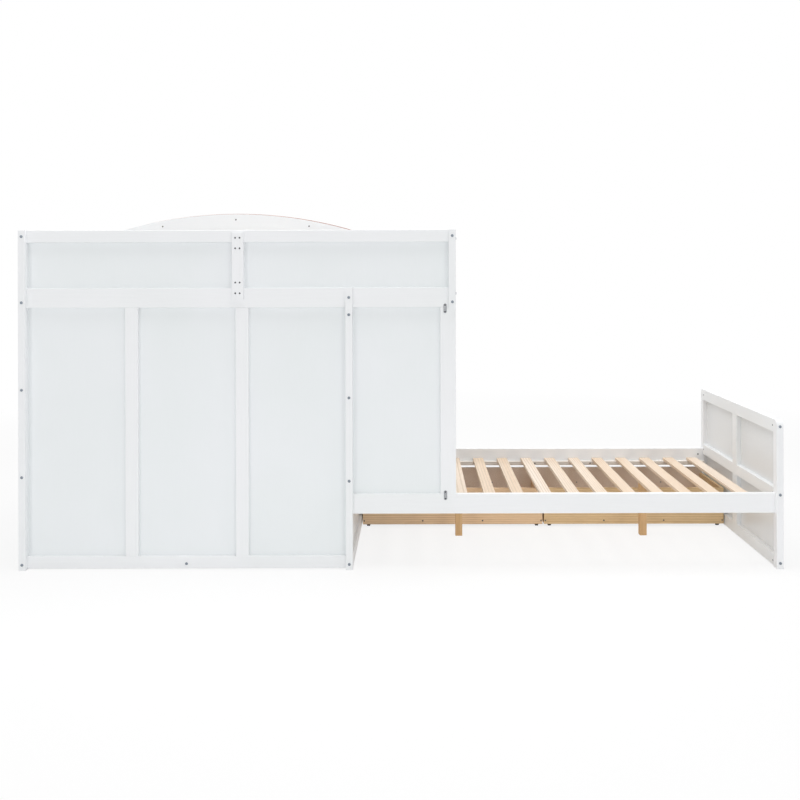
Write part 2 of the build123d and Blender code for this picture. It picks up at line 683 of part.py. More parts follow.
def drawer(name, low_x, high_x):
    """One drawer on four castors: front, sides, back, bottom, knobs, castors and screws."""
    front_back_y = drawer_front_y + drawer_front_thickness
    back_y = (drawer_back_y - drawer_board, drawer_back_y)
    side_z = (drawer_floor_gap, drawer_floor_gap + drawer_side_height)
    front = board(
        (low_x, high_x),
        (drawer_front_y, front_back_y),
        (drawer_floor_gap, drawer_floor_gap + drawer_front_height),
    )
    side_y = (front_back_y, back_y[0])
    sides = [board((low_x, low_x + drawer_board), side_y, side_z)]
    sides.append(board((high_x - drawer_board, high_x), side_y, side_z))
    back = board((low_x, high_x), back_y, side_z)
    bottom_z = (drawer_floor_gap + bottom_lift, drawer_floor_gap + bottom_lift + bottom_thickness)
    inner_x = (low_x + drawer_board, high_x - drawer_board)
    panel = slab(
        (inner_x[0] - bottom_groove, inner_x[1] + bottom_groove),
        (side_y[0] - bottom_groove, side_y[1] + bottom_groove),
        bottom_z,
    )
    cleats = []
    third = (high_x - low_x) / 3
    cleat_places = [low_x + third, high_x - third]
    for x in cleat_places:
        cleat_z = (bottom_z[0] - cleat_height, bottom_z[0])
        cleats.append(board(centred(x, cleat_width), side_y, cleat_z))

    # Screws along the lower edge of the back, and two near its top
    screws = []
    holes = []
    low_row = bottom_z[0] - cleat_height / 2
    high_row = side_z[1] - drawer_screw_drop
    ends = [low_x + drawer_board / 2, high_x - drawer_board / 2]
    spots = [(x, low_row) for x in ends + cleat_places] + [(x, high_row) for x in ends]
    for x, z in spots:
        fixed, hole = screw((x, back_y[1], z), (0, -1, 0), drawer_screw_length)
        screws.append(fixed)
        holes.append(hole)

    # Two turned knobs, each with a machine screw from inside the front
    knobs = []
    knob_holes = []
    middle_x = (low_x + high_x) / 2
    for x in centred(middle_x, knob_spread):
        with BuildPart() as turned:
            with BuildSketch(Plane.XZ) as profile:
                with BuildLine():
                    Polyline((0, 0), (knob_foot_radius, 0), (knob_neck_radius, knob_neck_reach))
                    Spline(
                        (knob_neck_radius, knob_neck_reach),
                        (knob_radius, knob_widest_reach),
                        (0, knob_reach),
                        tangents=((1, 0.6), (-1, 0)),
                    )
                    Line((0, knob_reach), (0, 0))
                make_face()
            revolve(axis=Axis.Z)
        placed = Plane(origin=(x, drawer_front_y, knob_height), z_dir=(0, -1, 0)) * turned.part
        start = (x, front_back_y, knob_height)
        fixed, hole = screw(start, (0, -1, 0), drawer_front_thickness + knob_screw_bite)
        knobs.append((placed - hole).solid())
        knobs.append(fixed)
        knob_holes.append(hole)

    # Castors under the bottom: the rear pair runs in pockets let into the back
    yokes = []
    pockets = []
    wheels = {}
    cheek_gap = wheel_width / 2 + wheel_side_play
    yoke_half = cheek_gap + cheek_thickness
    wheel_inset = drawer_board + castor_side_play + yoke_half + pin_overhang
    rear_y = back_y[1] - pocket_skin - wheel_pocket_play - wheel_radius
    front_wheel_y = front_back_y + front_wheel_setback
    pocket_y = (back_y[0] - past, back_y[1] - pocket_skin)
    for place, y in (("rear", rear_y), ("front", front_wheel_y)):
        wheels[place] = []
        for x in (low_x + wheel_inset, high_x - wheel_inset):
            plate_z = (bottom_z[0] - cheek_thickness, bottom_z[0])
            yoke_back = y + front_yoke_back_reach if place == "front" else back_y[0]
            yoke = slab(centred(x, 2 * yoke_half), (y - yoke_half_length, yoke_back), plate_z)
            cheek_y = (y - cheek_front_reach, y + cheek_back_reach)
            cheek_z = (wheel_radius - cheek_drop, plate_z[0])
            for side in (-1, 1):
                cheek_x = between(x + side * cheek_gap, x + side * yoke_half)
                yoke = yoke + slab(cheek_x, cheek_y, cheek_z)
            pin_start = (x - yoke_half - pin_overhang, y, wheel_radius)
            pin_length = 2 * (yoke_half + pin_overhang)
            pin_hole = rod(pin_start, (1, 0, 0), pin_length, axle_radius + pin_fit)
            yokes.append((yoke - pin_hole).solid())
            yokes.append(rod(pin_start, (1, 0, 0), pin_length, axle_radius))
            rim_start = (x - wheel_width / 2, y, wheel_radius)
            wheel = rod(rim_start, (1, 0, 0), wheel_width, wheel_radius)
            wheel = fillet(wheel.edges().filter_by(GeomType.CIRCLE), edge_round).solid()
            wheel = wheel - rod(rim_start, (1, 0, 0), wheel_width, axle_radius + axle_play)
            wheels[place].append(wheel.solid())
            if place == "rear":
                reach = yoke_half + pin_overhang + pocket_play
                pocket_z = (drawer_floor_gap - past, bottom_z[0])
                pockets.append(slab(centred(x, 2 * reach), pocket_y, pocket_z))
    made[f"{name}_front"] = cut([front], [panel] + knob_holes)
    made[f"{name}_sides"] = cut(sides, [panel] + holes)
    made[f"{name}_back"] = cut([back], [panel] + holes + pockets)
    made[f"{name}_bottom"] = cut([panel] + cleats, holes)
    made[f"{name}_knobs"] = knobs
    made[f"{name}_castor_frames"] = yokes
    made[f"{name}_rear_wheels"] = wheels["rear"]
    made[f"{name}_front_wheels"] = wheels["front"]
    made[f"{name}_screws"] = screws


# Two drawers side by side under the low bed
drawer_width = (mattress_length - 2 * drawer_end_gap - drawer_middle_gap) / 2
near_drawer = (part_low - drawer_end_gap - drawer_width, part_low - drawer_end_gap)
far_drawer = (foot_inner + drawer_end_gap, foot_inner + drawer_end_gap + drawer_width)
drawer("near_drawer", *near_drawer)
drawer("far_drawer", *far_drawer)

# Bolt, nut and screw holes through every wooden piece that they reach
drilled = [
    "left_end_posts",
    "left_end_rails",
    "partition_posts",
    "partition_rails",
    "partition_blocks",
    "upper_cross_beam",
    "footboard_posts",
    "footboard_rails",
    "upper_end_posts",
    "upper_end_rails",
    "rear_guard_frame",
    "upper_side_rails",
    "lower_side_rails",
    "base_frame",
    "rear_support_post",
    "rear_wall_panels",
    "left_end_panels",
    "partition_panels",
    "rear_guard_panels",
    "slat_ledges",
    "front_guard_frame",
]
for name in drilled:
    made[name] = cut(made[name], bolt_bores + nut_bores + screw_holes)
made["frame_bolts"] = bolts
made["barrel_nuts"] = cut(nuts, bolt_bores)

for name, solids in made.items():
    write(name, solids)
print(len(made), "named pieces, overall", 2 * half_length, bed_width, arch_peak)
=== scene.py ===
"""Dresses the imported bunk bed: paint, pine, board and steel finishes, turned and moulded pieces, light and camera."""

import json
import logging
import math
from dataclasses import dataclass
from enum import Enum
from typing import Callable, Iterable, Sequence

import bmesh
import bpy
from mathutils import Matrix, Vector

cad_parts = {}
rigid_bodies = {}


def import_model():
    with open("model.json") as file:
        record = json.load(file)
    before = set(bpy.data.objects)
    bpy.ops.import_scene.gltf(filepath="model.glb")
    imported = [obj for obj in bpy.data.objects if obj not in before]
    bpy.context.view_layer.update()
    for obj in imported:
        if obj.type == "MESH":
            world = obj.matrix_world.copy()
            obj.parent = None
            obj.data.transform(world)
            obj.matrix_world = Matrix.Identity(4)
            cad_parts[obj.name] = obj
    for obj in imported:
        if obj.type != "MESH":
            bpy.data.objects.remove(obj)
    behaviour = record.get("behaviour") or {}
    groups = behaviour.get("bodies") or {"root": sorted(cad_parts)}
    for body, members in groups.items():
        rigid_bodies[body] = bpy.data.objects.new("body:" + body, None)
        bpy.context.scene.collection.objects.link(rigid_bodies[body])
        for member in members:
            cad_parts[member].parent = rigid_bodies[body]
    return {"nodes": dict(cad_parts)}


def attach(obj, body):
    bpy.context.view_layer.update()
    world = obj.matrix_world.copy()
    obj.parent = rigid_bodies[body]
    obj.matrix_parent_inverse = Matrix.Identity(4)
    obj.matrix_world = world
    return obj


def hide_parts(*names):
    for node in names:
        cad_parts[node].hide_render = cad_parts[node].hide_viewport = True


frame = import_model()

Colour = tuple[float, float, float]
Point = tuple[float, float, float]
Corner = tuple[float, float]
Socket = bpy.types.NodeSocket
Material = bpy.types.Material
Mesh = bpy.types.Mesh
Piece = bpy.types.Object
Placed = tuple[Mesh, Matrix]

log = logging.getLogger("bunk_bed")

WHITE = (1.0, 1.0, 1.0, 1.0)
PAINT_STRETCH = 22.0
PAINT_FIBRE_SCALE = 160.0
FLECK_STRETCH = 2.5
FLECK_SCALE = 380.0
DRIFT_SCALE = 1.7
SMOOTH_ANGLE = math.radians(32)
CUT_PAST = 0.001


class Grain(Enum):
    """The way that the boards of a piece run, in the bed's own frame."""

    ALONG = "XYZ"
    ACROSS = "YXZ"
    UP = "ZXY"


class Body(Enum):
    """The moving bodies of the bed."""

    FRAME = "bed_frame"
    NEAR_DRAWER = "near_drawer"
    NEAR_REAR_WHEELS = "near_drawer_rear_wheel_pair"
    NEAR_FRONT_WHEELS = "near_drawer_front_wheel_pair"
    FAR_DRAWER = "far_drawer"
    FAR_REAR_WHEELS = "far_drawer_rear_wheel_pair"
    FAR_FRONT_WHEELS = "far_drawer_front_wheel_pair"


class Slot(Enum):
    """The record's material slots that the new pieces belong to."""

    WHITE_WOOD = "painted_white_wood"
    ZINC_STEEL = "zinc_steel"
    BLACK_STEEL = "black_steel"
    BLACK_PLASTIC = "black_plastic"


def from_screen(red: float, green: float, blue: float) -> tuple[float, float, float, float]:
    """A colour as a screen shows it, from 0 to 255, as the linear values that a shader reads.

    Args:
        red: red share, 0 to 255.
        green: green share, 0 to 255.
        blue: blue share, 0 to 255.

    Returns:
        Linear red, green, blue and a full alpha.
    """

    def linear(value: float) -> float:
        """One channel made linear."""
        share = value / 255.0
        return share / 12.92 if share <= 0.04045 else ((share + 0.055) / 1.055) ** 2.4

    return linear(red), linear(green), linear(blue), 1.0


class Tree:
    """The node tree of a material or a world, with short calls that add nodes and join them."""

    def __init__(self, owner: Material | bpy.types.World) -> None:
        """Empties the owner's tree."""
        owner.use_nodes = True
        self.tree = owner.node_tree
        self.tree.nodes.clear()

    def add(self, kind: str, inputs: dict[str | int, object] | None = None, **options: object) -> bpy.types.Node:
        """Adds one node.

        Args:
            kind: the node's type name.
            inputs: values or sockets for its inputs, by name or number.
            options: the node's own settings.

        Returns:
            The new node.
        """
        node = self.tree.nodes.new(kind)
        for key, value in options.items():
            setattr(node, key, value)
        for key, value in (inputs or {}).items():
            if isinstance(value, Socket):
                self.tree.links.new(value, node.inputs[key])
            else:
                node.inputs[key].default_value = value
        return node

    def maths(self, operation: str, first: object, second: object = 0.0, third: object = 0.0) -> Socket:
        """The result of one sum on numbers or sockets."""
        return self.add("ShaderNodeMath", {0: first, 1: second, 2: third}, operation=operation).outputs[0]

    def shown(self) -> Socket:
        """1 on the rays that show the studio itself: to the camera, through clear things and in reflections."""
        path = self.add("ShaderNodeLightPath").outputs
        seen = self.maths("MAXIMUM", path["Is Camera Ray"], path["Is Transmission Ray"])
        return self.maths("MAXIMUM", seen, path["Is Glossy Ray"])


class Bench(Tree):
    """A new material's tree, with calls for the patterns that the finishes share."""

    def __init__(self, name: str) -> None:
        """Makes an empty material called name."""
        self.material = bpy.data.materials.new(name)
        super().__init__(self.material)
        self.coords = self.add("ShaderNodeTexCoord").outputs["Object"]

    def noise(self, vector: object, scale: float, detail: float = 3.0, rough: float = 0.55) -> Socket:
        """Soft noise from 0 to 1 over a vector."""
        inputs = {"Vector": vector, "Scale": scale, "Detail": detail, "Roughness": rough}
        return self.add("ShaderNodeTexNoise", inputs).outputs["Fac"]

    def span(
        self, value: object, low: float, high: float, new_low: float = 0.0, new_high: float = 1.0
    ) -> Socket:
        """A value moved from one range to another, kept within the new one."""
        inputs = {"Value": value, "From Min": low, "From Max": high, "To Min": new_low, "To Max": new_high}
        return self.add("ShaderNodeMapRange", inputs).outputs["Result"]

    def blend(self, share: object, first: object, second: object, kind: str = "MIX") -> Socket:
        """Two colours mixed by a share from 0 to 1."""
        node = self.add("ShaderNodeMix", data_type="RGBA", blend_type=kind)
        for index, value in ((0, share), (6, first), (7, second)):
            if isinstance(value, Socket):
                self.tree.links.new(value, node.inputs[index])
            else:
                node.inputs[index].default_value = value
        return node.outputs[2]

    def tones(self, share: object, first: Colour, second: Colour) -> Socket:
        """Two colours from 0 to 255 mixed by a share from 0 to 1."""
        return self.blend(share, from_screen(*first), from_screen(*second))

    def turned_to(self, grain: Grain, stretch: float, start: float = 0.0) -> Socket:
        """Places measured along the grain first, with the grain drawn out.

        Args:
            grain: the way the boards run.
            stretch: how many times longer than wide a mark becomes.
            start: a shift, so that two finishes don't repeat each other.

        Returns:
            A vector of along, across and through.
        """
        split = self.add("ShaderNodeSeparateXYZ", {"Vector": self.coords})
        parts = [split.outputs[letter] for letter in grain.value]
        along = self.maths("MULTIPLY_ADD", parts[0], 1.0 / stretch, start)
        inputs = {"X": along, "Y": parts[1], "Z": parts[2]}
        return self.add("ShaderNodeCombineXYZ", inputs).outputs["Vector"]

    def painted_fibres(self, grain: Grain) -> Socket:
        """The wood's fibres as they show through a lacquer, from 0 to 1."""
        return self.noise(self.turned_to(grain, PAINT_STRETCH), PAINT_FIBRE_SCALE, 5.0, 0.62)

    def flecks(self, grain: Grain) -> Socket:
        """The flecks of pressed board, from 0 to 1."""
        return self.noise(self.turned_to(grain, FLECK_STRETCH), FLECK_SCALE, 4.0, 0.7)

    def paint(self, grain: Grain, tone: Colour, shade: Colour, line_share: float) -> Socket:
        """The colour of a lacquer that drifts between two tones and darkens a little on the fibres.

        Args:
            grain: the way the boards run.
            tone: its lighter tone.
            shade: its darker tone.
            line_share: what the darkest fibres keep of the colour.

        Returns:
            The colour.
        """
        colour = self.tones(self.drift(), tone, shade)
        lines = self.span(self.painted_fibres(grain), 0.36, 0.62, line_share)
        return self.blend(1.0, colour, lines, "MULTIPLY")

    def drift(self) -> Socket:
        """The wide, faint drift of a lacquer's tone, from 0 to 1."""
        return self.span(self.noise(self.coords, DRIFT_SCALE, 2.0), 0.35, 0.65)

    def bump(self, height: object, depth: float) -> Socket:
        """A surface normal from a height from 0 to 1 and a depth in metres."""
        inputs = {"Height": height, "Distance": depth, "Strength": 1.0}
        return self.add("ShaderNodeBump", inputs).outputs["Normal"]

    def shader(self, colour: object, roughness: object, normal: object, **sockets: float) -> Material:
        """Ends the tree in a principled shader.

        Args:
            colour: the base colour or its socket.
            roughness: the roughness or its socket.
            normal: the normal's socket.
            sockets: other inputs, named with underscores for spaces.

        Returns:
            The finished material.
        """
        inputs: dict[str | int, object] = {"Base Color": colour, "Roughness": roughness, "Normal": normal}
        inputs.update({key.replace("_", " "): value for key, value in sockets.items()})
        principled = self.add("ShaderNodeBsdfPrincipled", inputs)
        self.add("ShaderNodeOutputMaterial", {"Surface": principled.outputs["BSDF"]})
        return self.material


@dataclass(frozen=True)
class Finish:
    """What every finish has: a name, and a material for each way that the grain runs."""

    name: str

    def bench(self, grain: Grain) -> Bench:
        """An empty material named after the finish and the grain."""
        return Bench(f"{self.name}_{grain.name.lower()}")

    def material(self, grain: Grain) -> Material:
        """The finish for pieces whose grain runs one way, which each kind of finish fills in.

        Args:
            grain: the way the boards, flecks or marks run.

        Returns:
            The material.
        """
        raise NotImplementedError(grain)


@dataclass(frozen=True)
class SatinWhite(Finish):
    """White satin lacquer on wood, through which the grain shows faintly."""

    tone: Colour
    shade: Colour
    grain_depth: float = 0.00012
    peel_depth: float = 0.00003
    peel_scale: float = 520.0
    roughness: tuple[float, float] = (0.36, 0.5)
    line_share: float = 0.986

    def material(self, grain: Grain) -> Material:
        """The lacquer for boards that run one way.

        Args:
            grain: the way the boards run.

        Returns:
            The material.
        """
        bench = self.bench(grain)
        peel = bench.noise(bench.coords, self.peel_scale, 2.0)
        colour = bench.paint(grain, self.tone, self.shade, self.line_share)
        rough = bench.span(peel, 0.3, 0.7, *self.roughness)
        height = bench.maths("MULTIPLY_ADD", peel, self.peel_depth / self.grain_depth, bench.painted_fibres(grain))
        return bench.shader(colour, rough, bench.bump(height, self.grain_depth), Specular_IOR_Level=0.42)


@dataclass(frozen=True)
class PlanedPine(Finish):
    """Bare planed pine with growth rings, fibres, a few knots and its own tone on each board."""

    pale: Colour
    ring: Colour
    deep: Colour
    knot: Colour = (150, 104, 62)
    ring_gap: float = 0.011
    board_start: float = 0.0
    board_step: float = 10.0
    start: float = 0.0
    board_contrast: float = 0.85
    stretch: float = 26.0
    knot_stretch: float = 3.2
    knot_scale: float = 7.0
    knot_rarity: float = 0.62
    fibre_scale: float = 420.0
    relief: float = 0.00025

    def material(self, grain: Grain) -> Material:
        """The pine for boards that run one way.

        Args:
            grain: the way the boards run.

        Returns:
            The material.
        """
        bench = self.bench(grain)
        split = bench.add("ShaderNodeSeparateXYZ", {"Vector": bench.coords})
        across = split.outputs[grain.value[1]]
        counted = bench.maths("SUBTRACT", across, self.board_start)
        board = bench.maths("FLOOR", bench.maths("DIVIDE", counted, self.board_step))
        luck = bench.add("ShaderNodeTexWhiteNoise", {"W": board}, noise_dimensions="1D")
        own = bench.add("ShaderNodeSeparateColor", {"Color": luck.outputs["Color"]})

        drawn = bench.turned_to(grain, self.stretch, self.start)
        offset = bench.add(
            "ShaderNodeCombineXYZ",
            {
                "X": bench.maths("MULTIPLY", own.outputs["Red"], 7.0),
                "Y": bench.maths("MULTIPLY_ADD", own.outputs["Green"], 0.12, 0.05),
                "Z": bench.maths("MULTIPLY_ADD", own.outputs["Blue"], 0.05, 0.03),
            },
        ).outputs["Vector"]
        placed = bench.add("ShaderNodeVectorMath", {0: drawn, 1: offset}, operation="ADD").outputs[0]
        rings = bench.add(
            "ShaderNodeTexWave",
            {
                "Vector": placed,
                "Scale": 2 * math.pi / (20.0 * self.ring_gap),
                "Distortion": 5.0,
                "Detail": 3.0,
                "Detail Scale": 0.7,
                "Detail Roughness": 0.5,
            },
            wave_type="RINGS",
            rings_direction="X",
        ).outputs["Fac"]
        late = bench.span(rings, 0.55, 1.0)
        fibres = bench.noise(placed, self.fibre_scale, 4.0, 0.65)
        drift = bench.noise(placed, 9.0, 2.0)
        wide = bench.turned_to(grain, self.knot_stretch, self.start)
        cells = bench.add("ShaderNodeTexVoronoi", {"Vector": wide, "Scale": self.knot_scale, "Randomness": 1.0})
        rare = bench.add("ShaderNodeSeparateColor", {"Color": cells.outputs["Color"]}).outputs["Red"]
        chosen = bench.maths("GREATER_THAN", rare, self.knot_rarity)
        eye = bench.maths("MULTIPLY", bench.span(cells.outputs["Distance"], 0.03, 0.085, 1.0, 0.0), chosen)

        colour = bench.tones(bench.span(drift, 0.3, 0.7), self.pale, self.deep)
        tone = bench.maths("MULTIPLY", own.outputs["Green"], self.board_contrast)
        colour = bench.blend(tone, colour, from_screen(*self.deep))
        colour = bench.blend(bench.maths("MULTIPLY", late, 0.75), colour, from_screen(*self.ring))
        grey = bench.span(fibres, 0.3, 0.7, 0.87, 1.04)
        colour = bench.blend(1.0, colour, grey, "MULTIPLY")
        colour = bench.blend(bench.maths("MULTIPLY", eye, 0.85), colour, from_screen(*self.knot))
        rough = bench.span(fibres, 0.3, 0.7, 0.62, 0.5)
        height = bench.maths("MULTIPLY_ADD", late, -0.5, fibres)
        return bench.shader(colour, rough, bench.bump(height, self.relief), Specular_IOR_Level=0.35)


@dataclass(frozen=True)
class FibreBoard(Finish):
    """Bare pressed board with fine flecks."""

    pale: Colour
    dark: Colour
    relief: float = 0.0002

    def material(self, grain: Grain) -> Material:
        """The board's material, whose flecks run with the grain.

        Args:
            grain: the way the flecks run.

        Returns:
            The material.
        """
        bench = self.bench(grain)
        flecks = bench.flecks(grain)
        cloud = bench.noise(bench.coords, 6.0, 3.0)
        share = bench.maths("MULTIPLY_ADD", cloud, 0.45, bench.span(flecks, 0.38, 0.62, 0.0, 0.55))
        colour = bench.tones(share, self.pale, self.dark)
        rough = bench.span(flecks, 0.3, 0.7, 0.74, 0.86)
        return bench.shader(colour, rough, bench.bump(flecks, self.relief), Specular_IOR_Level=0.25)


@dataclass(frozen=True)
class TwoFaced(Finish):
    """Lacquer on the outside of the drawer front, and bare board on its inner face, painted lighter than the bare board
    elsewhere: painted light for that shaded face.
    """

    tone: Colour
    shade: Colour
    bare_pale_painted_light: Colour
    bare_dark_painted_light: Colour
    face_y: float
    line_share: float = 0.975
    relief: float = 0.00014

    def material(self, grain: Grain) -> Material:
        """The two finishes, split just short of the inner face.

        Args:
            grain: the way the board runs.

        Returns:
            The material.
        """
        bench = self.bench(grain)
        flecks = bench.flecks(grain)
        paint = bench.paint(grain, self.tone, self.shade, self.line_share)
        share = bench.maths("MULTIPLY_ADD", bench.drift(), 0.3, bench.span(flecks, 0.38, 0.62, 0.0, 0.6))
        # The bare side's colours are lighter than the raw board's: painted light on the shaded inner face.
        bare = bench.tones(share, self.bare_pale_painted_light, self.bare_dark_painted_light)
        depth = bench.add("ShaderNodeSeparateXYZ", {"Vector": bench.coords}).outputs["Y"]
        inside = bench.span(depth, self.face_y - 0.0012, self.face_y - 0.0006)
        colour = bench.blend(inside, paint, bare)
        rough = bench.maths("MULTIPLY_ADD", inside, 0.38, bench.span(flecks, 0.3, 0.7, 0.38, 0.48))
        height = bench.maths("MULTIPLY_ADD", flecks, 0.8, bench.painted_fibres(grain))
        return bench.shader(colour, rough, bench.bump(height, self.relief), Specular_IOR_Level=0.38)


@dataclass(frozen=True)
class Metal(Finish):
    """Steel with fine turning marks and a little unevenness."""

    bright: Colour
    dull: Colour
    roughness: tuple[float, float] = (0.34, 0.52)
    relief: float = 0.00004

    def material(self, grain: Grain) -> Material:
        """The metal, with marks drawn out along the grain.

        Args:
            grain: the way that the marks run.

        Returns:
            The material.
        """
        bench = self.bench(grain)
        marks = bench.noise(bench.turned_to(grain, 8.0), 1500.0, 3.0)
        cloud = bench.span(bench.noise(bench.coords, 240.0, 3.0), 0.35, 0.65)
        colour = bench.tones(cloud, self.bright, self.dull)
        rough = bench.span(marks, 0.3, 0.7, *self.roughness)
        return bench.shader(colour, rough, bench.bump(marks, self.relief), Metallic=1.0)


@dataclass(frozen=True)
class MouldedBlack(Finish):
    """Black moulded plastic with a fine spark-eroded grain."""

    tone: Colour
    scuffed: Colour
    relief: float = 0.00006

    def material(self, grain: Grain) -> Material:
        """The plastic.

        Args:
            grain: only names the material, because the pattern has no direction.

        Returns:
            The material.
        """
        bench = self.bench(grain)
        pits = bench.noise(bench.coords, 1800.0, 2.0)
        scuffs = bench.span(bench.noise(bench.coords, 160.0, 4.0, 0.7), 0.55, 0.75)
        colour = bench.tones(scuffs, self.tone, self.scuffed)
        rough = bench.span(pits, 0.3, 0.7, 0.42, 0.6)
        return bench.shader(colour, rough, bench.bump(pits, self.relief), Specular_IOR_Level=0.5)


@dataclass
class Wardrobe:
    """Every finish of the bed, each material made once."""

    slat_pitch: float = 0.1353
    lower_slats_start: float = -1.7100
    upper_slats_start: float = -0.1860
    drawer_front_inner_y: float = -0.4870
    slat_tones: tuple[Colour, Colour, Colour] = ((251, 240, 228), (214, 194, 170), (233, 208, 180))

    def __post_init__(self) -> None:
        """Sets out the finishes and an empty rack for their materials."""
        self.rack: dict[tuple[str, Grain], Material] = {}
        self.frame_white = SatinWhite("frame_white", (242, 243, 245), (239, 241, 242))
        self.panel_white = SatinWhite(
            "panel_white", (238, 241, 243), (235, 239, 240), grain_depth=0.00004, line_share=0.994
        )
        # The arch board's white is a lighter copy of the white lacquer: painted light for the stronger light it gets up
        # near the top.
        self.arch_white_painted_light = SatinWhite(
            "arch_white_painted_light", (243, 247, 251), (240, 244, 249), grain_depth=0.00005, line_share=0.994
        )
        # The footboard's whites are darker copies of the white lacquer: painted shade for its inner face, which gets
        # less light.
        self.foot_white_painted_shade = SatinWhite(
            "foot_white_painted_shade", (240, 242, 243), (236, 238, 239), grain_depth=0.00005, line_share=0.992
        )
        self.foot_panel_white_painted_shade = SatinWhite(
            "foot_panel_white_painted_shade", (233, 235, 236), (228, 230, 231), grain_depth=0.00003, roughness=(0.2, 0.3),
            line_share=0.992,
        )
        self.rose = SatinWhite("dusty_rose", (196, 168, 160), (184, 152, 144), grain_depth=0.0001)
        self.lower_slat = PlanedPine(
            "lower_slat_pine", *self.slat_tones,
            board_start=self.lower_slats_start, board_step=self.slat_pitch, start=1.7,
        )
        self.upper_slat = PlanedPine(
            "upper_slat_pine", *self.slat_tones,
            board_start=self.upper_slats_start, board_step=self.slat_pitch, start=4.1,
        )
        self.ledge = PlanedPine("ledge_pine", (250, 247, 243), (234, 227, 218), (243, 238, 231), start=8.3)
        self.leg = PlanedPine(
            "leg_pine", (232, 200, 156), (196, 152, 104), (216, 178, 130), ring_gap=0.007, start=2.9,
            board_start=-1.0, board_step=0.7,
        )
        # The near drawer's pine is lighter than the far drawer's: painted light for its back, which the tall bay
        # shades.
        self.near_board_painted_light = PlanedPine("near_drawer_pine_painted_light", (245, 216, 182), (214, 178, 138), (233, 200, 160), start=5.2)
        self.far_board = PlanedPine("far_drawer_pine", (238, 212, 170), (206, 174, 130), (226, 196, 152), start=6.6)
        self.raw_board = FibreBoard("raw_board", (222, 204, 186), (192, 170, 150))
        # The drawer front's bare colours are the raw board lightened: painted light for its shaded inner face.
        self.drawer_face = TwoFaced(
            "drawer_face", (243, 243, 245), (238, 239, 241), (250, 240, 230), (222, 204, 190),
            self.drawer_front_inner_y,
        )
        self.zinc = Metal("zinc_steel", (176, 178, 180), (146, 148, 152))
        self.screw_steel = Metal("screw_steel", (98, 99, 102), (76, 77, 80))
        self.dark_steel = Metal("dark_steel", (150, 158, 166), (122, 130, 138), roughness=(0.36, 0.55))
        self.wheel_black = MouldedBlack("wheel_black", (28, 28, 30), (58, 57, 56))

    def pick(self, finish: Finish, grain: Grain) -> Material:
        """The material of a finish for one grain, made the first time it is asked for."""
        key = (finish.name, grain)
        if key not in self.rack:
            self.rack[key] = finish.material(grain)
        return self.rack[key]

    def dress(self, finish: Finish, grain: Grain, *nodes: str) -> None:
        """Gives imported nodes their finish.

        Args:
            finish: what they are made of.
            grain: the way their boards run.
            nodes: the nodes' names.
        """
        material = self.pick(finish, grain)
        for node in nodes:
            piece = frame["nodes"][node]
            if not piece.material_slots:
                piece.data.materials.append(material)
            for slot in piece.material_slots:
                slot.material = material
            log.info("dressed %s in %s", node, material.name)

    def seat(self, piece: Piece, node: str, body: Body, finish: Finish, slot: Slot) -> None:
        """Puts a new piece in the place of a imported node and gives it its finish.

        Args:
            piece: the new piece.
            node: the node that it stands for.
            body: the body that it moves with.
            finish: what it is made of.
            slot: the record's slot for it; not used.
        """
        piece.data.materials.append(self.pick(finish, Grain.UP))
        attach(piece, body.value)
        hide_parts(node)
        log.info("built %s for %s, %d faces", piece.name, node, len(piece.data.polygons))


@dataclass(frozen=True)
class Island:
    """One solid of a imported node: its lowest and highest corner and its points."""

    low: Vector
    high: Vector
    points: tuple[Vector, ...]

    @property
    def middle(self) -> Vector:
        """The middle of its box."""
        return (self.low + self.high) / 2

    @property
    def span(self) -> Vector:
        """Its size along X, Y and Z."""
        return self.high - self.low

    def longest(self) -> int:
        """The number of its longest side, 0 for X, 1 for Y and 2 for Z."""
        return max(range(3), key=lambda side: self.span[side])


def islands_of(node: str) -> list[Island]:
    """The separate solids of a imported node.

    Args:
        node: the node's name.

    Returns:
        One island for each solid, ordered by place.
    """
    source = bmesh.new()
    source.from_mesh(frame["nodes"][node].data)
    bmesh.ops.remove_doubles(source, verts=source.verts, dist=1e-6)
    waiting = set(source.verts)
    found = []
    while waiting:
        reach = [waiting.pop()]
        group = []
        while reach:
            vert = reach.pop()
            group.append(vert.co.copy())
            for edge in vert.link_edges:
                other = edge.other_vert(vert)
                if other in waiting:
                    waiting.remove(other)
                    reach.append(other)
        low = Vector([min(point[i] for point in group) for i in range(3)])
        high = Vector([max(point[i] for point in group) for i in range(3)])
        found.append(Island(low, high, tuple(group)))
    source.free()
    return sorted(found, key=lambda island: tuple(round(value, 4) for value in island.middle))


def baked(work: bmesh.types.BMesh, name: str) -> Mesh:
    """The mesh of a bmesh, which is freed."""
    mesh = bpy.data.meshes.new(name)
    work.to_mesh(mesh)
    work.free()
    return mesh


def turned(profile: Sequence[Corner], segments: int = 40) -> Mesh:
    """A closed mesh turned about Z.

    Args:
        profile: pairs of radius and height, from the axis at the bottom to the axis at the top.
        segments: how many facets go round.

    Returns:
        The mesh.
    """
    work = bmesh.new()
    rings: list[list[bmesh.types.BMVert]] = []
    for radius, height in profile:
        if radius < 1e-7:
            rings.append([work.verts.new((0.0, 0.0, height))])
            continue
        angles = [2 * math.pi * i / segments for i in range(segments)]
        rings.append([work.verts.new((radius * math.cos(a), radius * math.sin(a), height)) for a in angles])
    for low, high in zip(rings[:-1], rings[1:]):
        for i in range(segments):
            j = (i + 1) % segments
            if len(low) == 1:
                work.faces.new((low[0], high[i], high[j]))
            elif len(high) == 1:
                work.faces.new((low[j], low[i], high[0]))
            else:
                work.faces.new((low[i], low[j], high[j], high[i]))
    if len(rings[0]) > 1 and len(rings[-1]) > 1:
        for i in range(segments):
            j = (i + 1) % segments
            work.faces.new((rings[-1][i], rings[-1][j], rings[0][j], rings[0][i]))
    bmesh.ops.recalc_face_normals(work, faces=work.faces)
    return baked(work, "turned")


